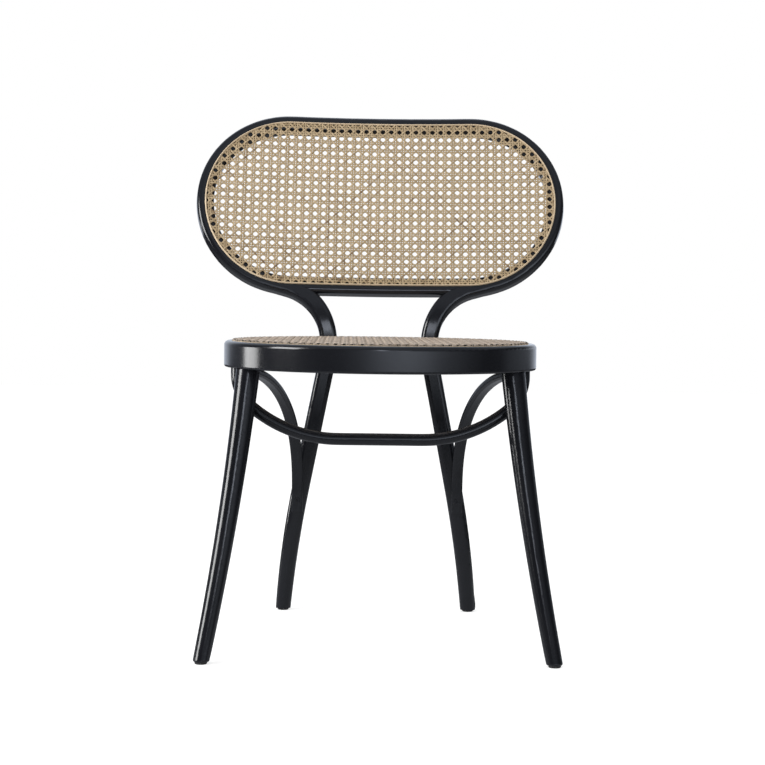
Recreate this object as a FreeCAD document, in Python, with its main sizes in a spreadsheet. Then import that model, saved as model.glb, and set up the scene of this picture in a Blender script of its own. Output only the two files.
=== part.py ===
import FreeCAD, Part
import Sketcher
import math
import os
from FreeCAD import Vector

# Bentwood chair with a caned oval back and a round caned seat.
# The sitter faces -Y, +Z is up and the floor is Z = 0.
# The seat ring is drawn about X = Y = 0. At the end everything is shifted along Y,
# so that the origin lies under the middle of the whole chair.

doc = FreeCAD.newDocument("bistro_chair")
sheet = doc.addObject("Spreadsheet::Sheet", "sizes")

# Driving dimensions in millimetres and degrees: alias, value, meaning.
SIZES = [
    ("fit_gap", 0.25, "clearance round pieces that fit into or lie along each other"),
    ("seat_height", 450, "floor to the top face of the seat ring"),
    ("seat_radius", 235, "outer radius of the seat ring"),
    ("seat_ring_width", 42, "radial width of the seat ring"),
    ("seat_ring_depth", 39, "height of the seat ring"),
    ("seat_edge_round", 6.5, "rounding of the ring's outer top edge"),
    ("seat_lower_round", 3.5, "rounding of the ring's outer lower edge"),
    ("cane_thick", 2, "thickness of the woven cane"),
    ("cane_lip", 11, "bare wood outside the seat's spline"),
    ("spline_wide", 4, "width of the spline that holds the cane"),
    ("spline_deep", 5, "depth of the spline below the wood's face"),
    ("spline_proud", 1, "height of the spline above the cane"),
    ("cane_openings", 12, "openings across a sheet of cane, each for a few of the weave's"),
    ("cane_bar", 15, "cane between two openings"),
    ("cane_rim", 5, "cane between an opening and the edge of its sheet"),
    ("leg_top_dia", 35, "front leg at the seat ring"),
    ("leg_middle_dia", 28.8, "front leg halfway down"),
    ("leg_foot_dia", 23.8, "front leg at the floor"),
    ("leg_top_inset", 17.6, "front leg axis at the ring, inside the ring's outer radius"),
    ("leg_top_angle", 27.4, "place of that axis round the ring, forward of the side, degrees"),
    ("leg_splay_x", 56, "sideways run of a front leg"),
    ("leg_splay_y", 111, "forward run of a front leg"),
    ("leg_sabre_x", 18.7, "part of that run that comes from the leg's curve"),
    ("leg_sabre_y", 33.5, "part of that run that comes from the leg's curve"),
    ("foot_round", 2.5, "rounding under each foot"),
    ("tenon_dia", 22, "front leg tenon"),
    ("tenon_long", 26, "front leg tenon above the shoulder"),
    ("rod_size", 28, "bent rod of the rear bow, wide and deep"),
    ("rod_corner", 7.5, "corner radius of the bent rod"),
    ("rod_foot_dia", 24.5, "rear foot, where the rod is round"),
    ("rod_round_height", 240, "height at which the rear leg turns from square to round"),
    ("waist_half", 82.3, "bow axis from the middle plane at the seat"),
    ("waist_height", 442, "height of the narrowest point of the bow"),
    ("waist_bend", 200, "bend radius of the bow under the seat"),
    ("flare_bend", 92, "bend radius of the flare above the seat"),
    ("rear_leg_angle", 11.05, "outward angle of a rear leg"),
    ("rear_leg_straight", 200, "straight run of a rear leg"),
    ("rear_leg_bend", 1800, "gentle bend radius towards a rear foot"),
    ("rear_leg_back", 19.6, "how far a rear foot stands behind the seat joint"),
    ("back_lean", 18.5, "backward lean of the back, degrees"),
    ("lean_start", 455, "height at which the uprights begin to lean back"),
    ("lean_bend", 150, "bend radius of the uprights in side view"),
    ("back_half_straight", 147.6, "half of the oval's straight run"),
    ("back_lip", 12.5, "bare wood outside the back's spline"),
    ("back_axis_radius", 141, "radius of the oval's ends, to the rod's axis"),
    ("back_centre", 675.5, "oval centre, measured up along the bow"),
    ("back_curve", 2200, "radius to which the back is curved in plan"),
    ("notch_depth", 1, "least depth of the flat seats that the bow has in the ring"),
    ("notch_spare", 3, "extra width of those seats on the outside, where the bow flares"),
    ("stretcher_dia", 18, "front stretcher"),
    ("stretcher_drop", 101.4, "ring's underside down to the stretcher's axis at its middle"),
    ("stretcher_inset", 24, "stretcher axis at its ends, inside the ring's widest point"),
    ("stretcher_flat", 62, "half of the stretcher's straight run"),
    ("stretcher_bend", 200, "bend radius next to the straight run"),
    ("stretcher_turn", 38, "turn of that bend, degrees"),
    ("stretcher_end_run", 6, "straight run up to the ring at each end"),
    ("stretcher_tilt", 0.2, "run forward for each unit down"),
    ("brace_wide", 18, "side brace across"),
    ("brace_thick", 12, "side brace through"),
    ("brace_corner", 4, "corner radius of a side brace"),
    ("brace_foot_height", 166, "lower end of a side brace"),
    ("brace_foot_long", 39, "length of that lower end against the rear leg"),
    ("brace_foot_half", 131, "lower end of a brace from the middle plane"),
    ("brace_top_inset", 29, "upper end of a brace, inside the ring's widest point"),
    ("brace_top_y", 50, "upper end of a brace forward of the ring's centre"),
    ("bolt_dia", 6, "seat bolt"),
    ("bolt_head_dia", 13, "domed head of a seat bolt"),
    ("bolt_head_high", 3.4, "height of the domed head"),
    ("nut_across", 10, "seat nut across its flats"),
    ("nut_high", 5, "seat nut"),
    ("washer_dia", 16, "seat washer"),
    ("washer_thick", 1.5, "seat washer"),
    ("screw_dia", 4.5, "wood screw"),
    ("screw_head_dia", 8.6, "countersunk head of a wood screw"),
    ("screw_long", 26, "wood screw"),
    ("recess_long", 4.6, "cross recess of a screw"),
    ("recess_wide", 0.9, "cross recess of a screw"),
    ("dowel_dia", 8, "dowel between stretcher and ring"),
    ("dowel_long", 24, "dowel between stretcher and ring"),
    ("rail_dowel_dia", 6, "dowel between rail and bow"),
    ("rail_dowel_long", 20, "dowel between rail and bow"),
    ("glide_dia", 18, "glide under each foot"),
    ("glide_thick", 3, "glide under each foot"),
    ("glide_pin_dia", 4, "pin of a glide"),
    ("glide_pin_long", 12, "pin of a glide"),
]
for row, (alias, value, meaning) in enumerate(SIZES, start=1):
    sheet.set("A%d" % row, meaning)
    sheet.set("B%d" % row, str(value))
    sheet.setAlias("B%d" % row, alias)
doc.recompute()


def size(alias):
    """Value of one driving dimension."""
    return float(sheet.get(alias))


PARTS = []


def solid_feature(label, shape):
    """Add a sub-part whose shape comes from the functions below."""
    feature = doc.addObject("Part::Feature", label)
    feature.Label = label
    feature.Shape = shape
    PARTS.append(feature)
    return feature


def cylinder(point, axis, radius, length):
    """Solid cylinder that starts at a point and runs along an axis."""
    return Part.makeCylinder(radius, length, point, axis)


def mirrored(shape):
    """Copy of a shape on the other side of the middle plane."""
    return shape.mirror(Vector(0, 0, 0), Vector(1, 0, 0))


# Lathe work: a body whose sketch of the half section is turned about Z.
def origin_plane(body, role):
    for feature in body.Origin.OriginFeatures:
        if feature.Role == role:
            return feature


def profile(body, name, corners):
    """Closed outline on the body's XZ plane; each corner is a pair of expressions."""
    drawing = body.newObject("Sketcher::SketchObject", name)
    drawing.AttachmentSupport = [(origin_plane(body, "XZ_Plane"), "")]
    drawing.MapMode = "FlatFace"
    spots = [Vector(evaluate(across), evaluate(up), 0) for across, up in corners]
    for i, spot in enumerate(spots):
        drawing.addGeometry(Part.LineSegment(spot, spots[(i + 1) % len(spots)]), False)
    for i, (across, up) in enumerate(corners):
        place_corner(drawing, i, "DistanceX", across, spots[i].x)
        place_corner(drawing, i, "DistanceY", up, spots[i].y)
    for i in range(len(spots)):
        following = (i + 1) % len(spots)
        drawing.addConstraint(Sketcher.Constraint("Coincident", i, 2, following, 1))
    return drawing


def place_corner(drawing, corner, kind, expression, value):
    """Tie one coordinate of a corner to the sheet."""
    index = drawing.addConstraint(Sketcher.Constraint(kind, -1, 1, corner, 1, value))
    name = "%s%d" % (kind, corner)
    drawing.renameConstraint(index, name)
    drawing.setExpression("Constraints." + name, sheet_expression(expression))


def sheet_expression(expression):
    """The same expression with each alias read from the sheet."""
    words = []
    for word in expression.split():
        words.append("sizes." + word if word in ALIASES else word)
    return " ".join(words)


def evaluate(expression):
    """Value of a sum of signed terms, each an alias, a number or a product of two."""
    total = 0.0
    sign = 1.0
    term = None
    times = False
    for word in expression.split():
        if word in "+-":
            total += sign * (term or 0.0)
            sign = -1.0 if word == "-" else 1.0
            term = None
        elif word == "*":
            times = True
        else:
            number = size(word) if word in ALIASES else float(word)
            term = term * number if times else number
            times = False
    return total + sign * (term or 0.0)


ALIASES = {alias for alias, value, meaning in SIZES}


def turned(label, corners):
    """Body turned about its own Z axis from a half section."""
    body = doc.addObject("PartDesign::Body", label)
    drawing = profile(body, label + "_section", corners)
    turn = body.newObject("PartDesign::Revolution", label + "_turn")
    turn.Profile = drawing
    turn.ReferenceAxis = (drawing, ["V_Axis"])
    turn.Angle = 360
    body.Tip = turn
    doc.recompute()
    return body


# Places that several pieces share.
RING_TOP = size("seat_height")
RING_BOTTOM = RING_TOP - size("seat_ring_depth")
RING_MIDDLE = (RING_TOP + RING_BOTTOM) / 2
RING_AXIS_RADIUS = size("seat_radius") - size("seat_ring_width") / 2
HALF_ROD = size("rod_size") / 2
LEAN = math.radians(size("back_lean"))
FOOT = size("glide_thick")
SPLINE_OUTER = size("seat_radius") - size("cane_lip")
LEG_TOP_RADIUS = size("seat_radius") - size("leg_top_inset")
LEG_TOP_X = LEG_TOP_RADIUS * math.cos(math.radians(size("leg_top_angle")))
LEG_TOP_Y = LEG_TOP_RADIUS * math.sin(math.radians(size("leg_top_angle")))
STRETCHER_HALF = size("seat_radius") - size("stretcher_inset")
STRETCHER_LOW = RING_BOTTOM - size("stretcher_drop")
BRACE_TOP_HALF = size("seat_radius") - size("brace_top_inset")

# The uprights lie against flat seats cut into the ring's rear face.
REACH = size("waist_half") + HALF_ROD + 2
SEAT_PLANE = math.sqrt(size("seat_radius") ** 2 - REACH ** 2) - size("notch_depth")
BOW_Y = SEAT_PLANE + HALF_ROD


def bow_profile(w):
    """Side view of the bow's axis: (y, z, angle) at the distance w along it."""
    start = size("lean_start")
    bend = size("lean_bend")
    if w <= start:
        below = max(0.0, RING_BOTTOM - w)
        drop = RING_BOTTOM - FOOT
        back = size("rear_leg_back") * (below / drop) ** 2
        slope = -2 * size("rear_leg_back") * below / drop ** 2
        return BOW_Y + back, w, math.atan(slope)
    angle = min((w - start) / bend, LEAN)
    y = BOW_Y + bend * (1 - math.cos(angle))
    z = start + bend * math.sin(angle)
    rest = max(0.0, w - start - bend * LEAN)
    return y + rest * math.sin(LEAN), z + rest * math.cos(LEAN), angle


def on_back(u, w, forward=0.0):
    """Point of the curved back: u across, w up, and forward out of the rod's axis plane."""
    y, z, angle = bow_profile(w)
    turn = math.asin(u / size("back_curve"))
    level = Vector(0, -math.cos(max(0.0, angle)), math.sin(max(0.0, angle)))
    sag = size("back_curve") * (1 - math.cos(turn))
    normal = level * math.cos(turn) + Vector(-math.sin(turn), 0, 0)
    return Vector(u, y, z) + level * sag + normal * forward, normal


class Path:
    """Plane path of straight runs and tangent arcs, walked at even steps."""

    def __init__(self, u, w, heading):
        self.u = u
        self.w = w
        self.heading = heading
        self.spots = [(u, w)]

    def run(self, length, step=30.0):
        count = max(1, round(length / step))
        for i in range(count):
            self.u += math.cos(self.heading) * length / count
            self.w += math.sin(self.heading) * length / count
            self.spots.append((self.u, self.w))
        return self

    def arc(self, radius, turn, step=20.0):
        """Turn left by a positive angle and right by a negative one."""
        count = max(2, round(abs(turn) * radius / step))
        side = 1.0 if turn > 0 else -1.0
        for i in range(count):
            part = turn / count
            chord = 2 * radius * math.sin(abs(part) / 2)
            self.heading += part / 2
            self.u += math.cos(self.heading) * chord
            self.w += math.sin(self.heading) * chord
            self.heading += part / 2
            self.spots.append((self.u, self.w))
        return self


# Outline of the bow in its own curved sheet: the tangent between flare and oval.
END_U = size("back_half_straight")
END_W = size("back_centre")
END_R = size("back_axis_radius")
FLARE_R = size("flare_bend")
FLARE_U = size("waist_half") + FLARE_R
FLARE_W = size("waist_height")
APART = math.hypot(END_U - FLARE_U, END_W - FLARE_W)
TOWARDS = math.atan2(END_W - FLARE_W, END_U - FLARE_U)
TANGENT = TOWARDS + math.acos((END_R + FLARE_R) / APART)
TANGENT_RUN = math.sqrt(APART ** 2 - (END_R + FLARE_R) ** 2)
FLARE_TURN = math.pi - TANGENT
JOIN_TURN = math.pi / 2 - FLARE_TURN


def rear_leg_spots():
    """Bow axis from the waist down to the foot, as (u, w)."""
    angle = math.radians(size("rear_leg_angle"))
    path = Path(size("waist_half"), size("waist_height"), -math.pi / 2)
    path.arc(size("waist_bend"), angle)
    path.run(size("rear_leg_straight"))
    bend = size("rear_leg_bend")
    drop = path.w - FOOT
    lift = math.sin(angle) - drop / bend
    path.arc(bend, -(angle - math.asin(lift)), 25.0)
    path.spots[-1] = (path.u, FOOT)
    return path.spots


def upper_bow_spots():
    """Bow axis from the waist up over the flare and the oval's end to the middle."""
    path = Path(size("waist_half"), size("waist_height"), math.pi / 2)
    path.arc(FLARE_R, -FLARE_TURN, 11.0)
    path.run(TANGENT_RUN, 15.0)
    path.arc(END_R, math.pi - JOIN_TURN, 17.0)
    path.run(END_U, 24.0)
    return path.spots


def rounded_section(place, across, through, wide, deep, corner):
    """Closed rounded rectangle about a place, as a wire of four sides and four arcs."""
    corner = min(corner, wide / 2 - 0.05, deep / 2 - 0.05)
    edges = []
    corners = [(1, 1), (-1, 1), (-1, -1), (1, -1)]
    for i, (a, b) in enumerate(corners):
        middle_a = a * (wide / 2 - corner)
        middle_b = b * (deep / 2 - corner)
        start = math.atan2(b, a) - math.pi / 4
        spots = []
        for k in range(3):
            angle = start + k * math.pi / 4
            spots.append(place + across * (middle_a + corner * math.cos(angle))
                         + through * (middle_b + corner * math.sin(angle)))
        edges.append(Part.Arc(*spots).toShape())
        c, d = corners[(i + 1) % 4]
        angle = start + math.pi / 2
        far = (place + across * (c * (wide / 2 - corner) + corner * math.cos(angle))
               + through * (d * (deep / 2 - corner) + corner * math.sin(angle)))
        edges.append(Part.LineSegment(spots[2], far).toShape())
    return Part.Wire(edges)


def directions(places):
    """Unit tangent at each place of a chain."""
    result = []
    for i in range(len(places)):
        before = places[max(0, i - 1)]
        after = places[min(len(places) - 1, i + 1)]
        along = after - before
        result.append(along.normalize())
    return result


def lofted(sections):
    """Smooth solid through a chain of like sections."""
    return Part.makeLoft(sections, True, False)


def rod_along(chain, extra=0.0):
    """Rod of the bow's section along a chain of (u, w), thicker all round by an extra."""
    places = [on_back(u, w) for u, w in chain]
    tangents = directions([place for place, normal in places])
    if chain[0][1] <= FOOT:
        tangents[0] = Vector(0, 0, 1)
        tangents[-1] = Vector(0, 0, -1)
    sections = []
    for (place, normal), along, (u, w) in zip(places, tangents, chain):
        across = along.cross(normal).normalize()
        through = across.cross(along).normalize()
        share = max(0.0, 1 - (w - FOOT) / size("rod_round_height"))
        wide = size("rod_size") - (size("rod_size") - size("rod_foot_dia")) * share ** 3
        corner = size("rod_corner") + (wide / 2 - size("rod_corner")) * min(1.0, 1.5 * share)
        wide += 2 * extra
        sections.append(rounded_section(place, across, through, wide, wide, corner + extra))
    return lofted(sections)


def bow_rod():
    """The whole bent rod: foot, leg, upright, flare, oval end and top, both sides."""
    half = list(reversed(rear_leg_spots())) + upper_bow_spots()[1:]
    return rod_along(half + [(-u, w) for u, w in reversed(half[:-1])])


def back_plane_point(u, w, forward):
    """Point of the flat plane that touches the back along its middle line."""
    y, z, angle = bow_profile(w)
    return Vector(u, y, z) + Vector(0, -math.cos(angle), math.sin(angle)) * forward


def back_stadium(radius, half_straight):
    """Block over the oval of a given end radius, through the whole depth of the back."""
    deep = size("back_curve") / 10
    up = Vector(0, math.sin(LEAN), math.cos(LEAN))
    centre = back_plane_point(0, END_W, -deep / 2)
    side = Vector(half_straight, 0, 0)
    out = Vector(radius, 0, 0)
    edges = [
        Part.LineSegment(centre - side - up * radius, centre + side - up * radius).toShape(),
        Part.Arc(centre + side - up * radius, centre + side + out, centre + side + up * radius).toShape(),
        Part.LineSegment(centre + side + up * radius, centre - side + up * radius).toShape(),
        Part.Arc(centre - side + up * radius, centre - side - out, centre - side - up * radius).toShape(),
    ]
    face = Part.Face(Part.Wire(edges))
    return face.extrude(Vector(0, -math.cos(LEAN), math.sin(LEAN)) * deep)


def back_layer(inner, outer):
    """Layer of the curved back between two distances forward of the rod's axis."""
    reach = END_R + size("rod_size") * 2
    up = Vector(0, math.sin(LEAN), math.cos(LEAN))
    base = back_plane_point(0, END_W, size("back_curve")) - up * reach
    far_side = Part.makeCylinder(size("back_curve") - inner, 2 * reach, base, up)
    near_side = Part.makeCylinder(size("back_curve") - outer, 2 * reach, base, up)
    return far_side.cut(near_side)


# The oval at the wood's front face is a little narrower than at the rod's axis.
FRONT = HALF_ROD
TUCK = HALF_ROD * (END_U + END_R) / size("back_curve")
FRONT_U = END_U - TUCK
BACK_SPLINE_OUTER = END_R + HALF_ROD - size("back_lip")
BACK_SPLINE_INNER = BACK_SPLINE_OUTER - size("spline_wide")
GAP = size("fit_gap")
# The openings of the cane: depth of the blocks that cut them, and the least share of one kept.
GRID_DEEP = size("back_curve") / 10
LEAST_OPENING = 0.25


def back_groove():
    """Room for the spline in the front face of bow and rail."""
    ring = back_stadium(BACK_SPLINE_OUTER + GAP / 2, FRONT_U)
    ring = ring.cut(back_stadium(BACK_SPLINE_INNER - GAP / 2, FRONT_U))
    return ring.common(back_layer(FRONT - size("spline_deep") - GAP, FRONT + size("spline_deep")))


def back_spline_shape():
    ring = back_stadium(BACK_SPLINE_OUTER, FRONT_U).cut(back_stadium(BACK_SPLINE_INNER, FRONT_U))
    top = FRONT + GAP + size("cane_thick") + size("spline_proud")
    return ring.common(back_layer(FRONT - size("spline_deep"), top))


def grid_openings(half_across, half_up, placement, trim):
    """Square openings of a sheet of cane, at an even pitch, trimmed to a block."""
    columns = round(size("cane_openings"))
    pitch = 2 * half_across / columns
    rows = round(2 * half_up / pitch)
    side = pitch - size("cane_bar")
    least = side * side * GRID_DEEP * LEAST_OPENING
    boxes = []
    for i in range(columns):
        for j in range(rows):
            x = (i - (columns - 1) / 2) * pitch - side / 2
            y = (j - (rows - 1) / 2) * pitch - side / 2
            boxes.append(Part.makeBox(side, side, GRID_DEEP, Vector(x, y, -GRID_DEEP / 2)))
    grid = Part.makeCompound(boxes)
    grid.Placement = placement
    return Part.makeCompound([box for box in grid.common(trim).Solids if box.Volume > least])


def back_cane_shape():
    """Curved sheet in the oval, with a grid of openings for its weave."""
    radius = BACK_SPLINE_INNER - GAP
    sheet_block = back_stadium(radius, FRONT_U)
    cane = sheet_block.common(back_layer(FRONT + GAP, FRONT + GAP + size("cane_thick")))
    facing = FreeCAD.Rotation(Vector(1, 0, 0), 90 - size("back_lean"))
    placement = FreeCAD.Placement(back_plane_point(0, END_W, FRONT), facing)
    trim = back_stadium(radius - size("cane_rim"), FRONT_U)
    return cane.cut(grid_openings(FRONT_U + radius, radius, placement, trim))


def rail_shape():
    """Lower rail of the oval, its ends coped to the flares of the bow."""
    path = Path(0.0, END_W - END_R, 0.0)
    path.run(END_U, 24.0)
    path.arc(END_R, JOIN_TURN, 8.0)
    half = path.spots
    blank = rod_along([(-u, w) for u, w in reversed(half[1:])] + half)
    flare = Path(size("waist_half"), size("waist_height"), math.pi / 2)
    flare.arc(FLARE_R, -FLARE_TURN, 11.0)
    flare.run(TANGENT_RUN, 15.0)
    flare.arc(END_R, size("rod_size") * 2 / END_R, 14.0)
    flare_rod = rod_along(flare.spots, GAP)
    rest = blank.cut(Part.makeCompound([flare_rod, mirrored(flare_rod)]))
    return min(rest.Solids, key=lambda solid: abs(solid.CenterOfMass.x))


def leg_axis(share):
    """Axis of the right front leg, from the ring (0) to the floor (1)."""
    x = LEG_TOP_X + (size("leg_splay_x") - size("leg_sabre_x")) * share
    x += size("leg_sabre_x") * share * share
    y = LEG_TOP_Y + (size("leg_splay_y") - size("leg_sabre_y")) * share
    y += size("leg_sabre_y") * share * share
    return Vector(x, -y, RING_BOTTOM - (RING_BOTTOM - FOOT) * share)


def leg_radius(share):
    """Radius of a front leg: a smooth taper through its three diameters."""
    top = size("leg_top_dia") * (1 - share) * (1 - 2 * share)
    middle = size("leg_middle_dia") * 4 * share * (1 - share)
    foot = size("leg_foot_dia") * share * (2 * share - 1)
    return (top + middle + foot) / 2


def round_section(place, along, radius):
    return Part.Wire([Part.Circle(place, along, radius).toShape()])


def front_leg_shape():
    count = 12
    shares = [i / count for i in range(count + 1)]
    places = [leg_axis(share) for share in shares]
    tangents = directions(places)
    tangents[0] = Vector(0, 0, -1)
    tangents[-1] = Vector(0, 0, -1)
    sections = []
    for share, place, along in zip(shares, places, tangents):
        sections.append(round_section(place, along, leg_radius(share)))
    leg = lofted(sections)
    rim = [edge for edge in leg.Edges if edge.BoundBox.ZMax < FOOT + 0.01]
    leg = leg.makeFillet(size("foot_round"), rim)
    top = leg_axis(0)
    tenon = cylinder(top, Vector(0, 0, 1), size("tenon_dia") / 2, size("tenon_long"))
    return leg.fuse(tenon)


def stretcher_spots():
    """Half of the stretcher in its own plane, from the middle to the ring."""
    turn = math.radians(size("stretcher_turn"))
    rest = STRETCHER_HALF - size("stretcher_flat") - size("stretcher_bend") * math.sin(turn)
    end_bend = rest / (1 - math.sin(turn))
    path = Path(0.0, 0.0, 0.0)
    path.run(size("stretcher_flat"), 20.0)
    path.arc(size("stretcher_bend"), turn, 14.0)
    path.arc(end_bend, math.pi / 2 - turn, 9.0)
    path.run(size("stretcher_end_run"), 10.0)
    rise = size("stretcher_drop") / path.w
    return [(u, STRETCHER_LOW + w * rise) for u, w in path.spots]


def stretcher_places(end_y):
    places = []
    for x, z in stretcher_spots():
        places.append(Vector(x, end_y + (z - RING_BOTTOM) * size("stretcher_tilt"), z))
    return places


# Steps of the search below: millimetres along Y, and shares of the leg's length.
SEARCH_STEP = 0.25
SEARCH_SHARE = 0.01


def stretcher_end_y():
    """Place of the stretcher's ends at which it just clears the back of the front legs."""
    end_y = -LEG_TOP_Y
    while end_y < 0:
        clear = LEG_TOP_RADIUS
        for place in stretcher_places(end_y):
            share = (RING_BOTTOM - place.z) / (RING_BOTTOM - FOOT)
            for nearby in range(-3, 4):
                near_share = share + SEARCH_SHARE * nearby
                room = place.distanceToPoint(leg_axis(near_share)) - leg_radius(near_share)
                clear = min(clear, room)
        if clear >= size("stretcher_dia") / 2 + GAP:
            break
        end_y += SEARCH_STEP
    return end_y


END_Y = stretcher_end_y()


def stretcher_shape():
    half = stretcher_places(END_Y)
    places = [Vector(-p.x, p.y, p.z) for p in reversed(half[1:])] + half
    tangents = directions(places)
    tangents[0] = Vector(0, 0, -1)
    tangents[-1] = Vector(0, 0, 1)
    sections = []
    for place, along in zip(places, tangents):
        sections.append(round_section(place, along, size("stretcher_dia") / 2))
    return lofted(sections)


# A brace's straight foot takes this share of its sections, and the bend in plan is a little
# hollow, which this power gives.
BRACE_STRAIGHT = 0.15
BRACE_HOLLOW = 1.15


def brace_foot_place(height):
    """Axis of the brace where it lies against the front of the rear leg."""
    return on_back(size("brace_foot_half"), height, HALF_ROD + GAP + size("brace_thick") / 2)[0]


def brace_axis(share):
    """Axis of the right side brace, from its foot on the rear leg (0) to the ring (1)."""
    foot = size("brace_foot_height")
    bend = foot + size("brace_foot_long")
    if share < BRACE_STRAIGHT:
        return brace_foot_place(foot + (bend - foot) * share / BRACE_STRAIGHT)
    start = brace_foot_place(bend)
    angle = (share - BRACE_STRAIGHT) / (1 - BRACE_STRAIGHT) * math.pi / 2
    ahead = 1 - math.cos(angle)
    x = start.x + (BRACE_TOP_HALF - start.x) * ahead ** BRACE_HOLLOW
    y = start.y + (-size("brace_top_y") - start.y) * ahead
    z = start.z + (RING_BOTTOM - size("brace_thick") / 2 - start.z) * math.sin(angle)
    return Vector(x, y, z)


def brace_shape():
    count = 24
    places = [brace_axis(i / count) for i in range(count + 1)]
    tangents = directions(places)
    last = places[-1] - places[-2]
    tangents[0] = Vector(0, 0, 1)
    tangents[-1] = Vector(last.x, last.y, 0).normalize()
    sections = []
    for i, (place, along) in enumerate(zip(places, tangents)):
        share = i / count
        plan = Vector(last.x * share, last.y, 0).normalize()
        side = plan.cross(Vector(0, 0, 1)).normalize()
        through = side.cross(along).normalize()
        across = along.cross(through).normalize()
        sections.append(rounded_section(place, across, through, size("brace_wide"),
                                        size("brace_thick"), size("brace_corner")))
    return lofted(sections)


def screw_shape(point, axis):
    """Countersunk wood screw with its head's face at a point, pointing along an axis."""
    axis = axis.normalize()
    head = size("screw_head_dia") / 2
    shank = size("screw_dia") / 2
    sink = head - shank
    cone = Part.makeCone(head, shank, sink, point, axis)
    body = cylinder(point + axis * sink, axis, shank, size("screw_long") - 2 * sink)
    tip = Part.makeCone(shank, shank / 6, sink, point + axis * (size("screw_long") - sink), axis)
    screw = cone.fuse(body).fuse(tip)
    turn = FreeCAD.Rotation(Vector(0, 0, 1), axis)
    for quarter in (0, 90):
        slot = Part.makeBox(size("recess_long"), size("recess_wide"), 2 * sink,
                            Vector(-size("recess_long") / 2, -size("recess_wide") / 2, -sink))
        slot.rotate(Vector(0, 0, 0), Vector(0, 0, 1), quarter)
        slot.Placement = FreeCAD.Placement(point, turn).multiply(slot.Placement)
        screw = screw.cut(slot)
    return screw


def screw_hole(point, axis):
    """Hole that takes such a screw, open at the head's side."""
    axis = axis.normalize()
    head = size("screw_head_dia") / 2 + GAP
    shank = size("screw_dia") / 2 + GAP
    sink = head - shank
    cone = Part.makeCone(head, shank, sink, point, axis)
    mouth = cylinder(point - axis * head * 2, axis, head, head * 2)
    return cone.fuse(mouth).fuse(cylinder(point, axis, shank, size("screw_long") + 2 * GAP))


def dowel_shape(middle, axis, dia, length):
    axis = axis.normalize()
    return cylinder(middle - axis * (length / 2), axis, dia / 2, length)


def both(shape):
    """A shape and its mirror image as one group of solids."""
    return Part.makeCompound([shape, mirrored(shape)])


# Places of the fasteners on the right-hand side.
BOLT = Vector(size("waist_half"), BOW_Y, RING_MIDDLE)
SCREW_SHARE = 0.075
BRACE_SCREW = brace_axis(SCREW_SHARE) - Vector(0, size("brace_thick") / 2, 0)
BRACE_TOP_SHARE = 0.965
BRACE_TOP = brace_axis(BRACE_TOP_SHARE)
BRACE_TOP_SCREW = Vector(BRACE_TOP.x, BRACE_TOP.y, RING_BOTTOM - size("brace_thick") + 0.2)
STRETCHER_END = Vector(STRETCHER_HALF, END_Y, RING_BOTTOM)
CROSSING_DROP = 50.0
CROSSING = min(stretcher_places(END_Y), key=lambda p: abs(p.z - (RING_BOTTOM - CROSSING_DROP)))
CROSSED_LEG = leg_axis((RING_BOTTOM - CROSSING.z) / (RING_BOTTOM - FOOT))
CROSSING_AXIS = Vector(CROSSED_LEG.x - CROSSING.x, CROSSED_LEG.y - CROSSING.y, 0).normalize()
CROSSING_SCREW = CROSSING - CROSSING_AXIS * (size("stretcher_dia") / 2 - 0.6)
RAIL_ANGLE = math.radians(118)


def rail_dowel_places():
    """Middle and direction of each dowel between the right flare and the rail."""
    places = []
    for forward in (-HALF_ROD / 2, HALF_ROD / 2 - 1.5):
        ends = []
        for radius in (FLARE_R + HALF_ROD - 5, FLARE_R + HALF_ROD + 5):
            u = FLARE_U + radius * math.cos(RAIL_ANGLE)
            w = FLARE_W + radius * math.sin(RAIL_ANGLE)
            ends.append(on_back(u, w, forward)[0])
        places.append(((ends[0] + ends[1]) / 2, ends[1] - ends[0]))
    return places


# Bow, rail and what holds them together.
groove = back_groove()
bow = bow_rod()
rail = rail_shape()
dowel_room = []
dowels = []
for middle, axis in rail_dowel_places():
    dowels.append(both(dowel_shape(middle, axis, size("rail_dowel_dia"), size("rail_dowel_long"))))
    room_dia = size("rail_dowel_dia") + GAP
    room = dowel_shape(middle, axis, room_dia, size("rail_dowel_long") + GAP)
    dowel_room.append(both(room))
bolt_room = both(cylinder(BOLT - Vector(0, size("seat_ring_width") * 2, 0), Vector(0, 1, 0),
                          size("bolt_dia") / 2 + GAP, size("seat_ring_width") * 4))
brace_screw_room = both(screw_hole(BRACE_SCREW, Vector(0, 1, 0)))
bow_feet = rear_leg_spots()
REAR_FOOT = on_back(*bow_feet[-1])[0]
FRONT_FOOT = leg_axis(1)


def pin_room(place):
    return both(cylinder(place, Vector(0, 0, 1), size("glide_pin_dia") / 2 + GAP / 2,
                         size("glide_pin_long") + GAP))


cut_from_bow = [groove, bolt_room, brace_screw_room, pin_room(REAR_FOOT)] + dowel_room
solid_feature("rear_bow", bow.cut(Part.makeCompound(cut_from_bow)))
solid_feature("back_rail", rail.cut(Part.makeCompound([groove] + dowel_room)))
solid_feature("rail_dowels", Part.makeCompound(dowels))
solid_feature("back_spline", back_spline_shape())
solid_feature("back_cane", back_cane_shape())

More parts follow.
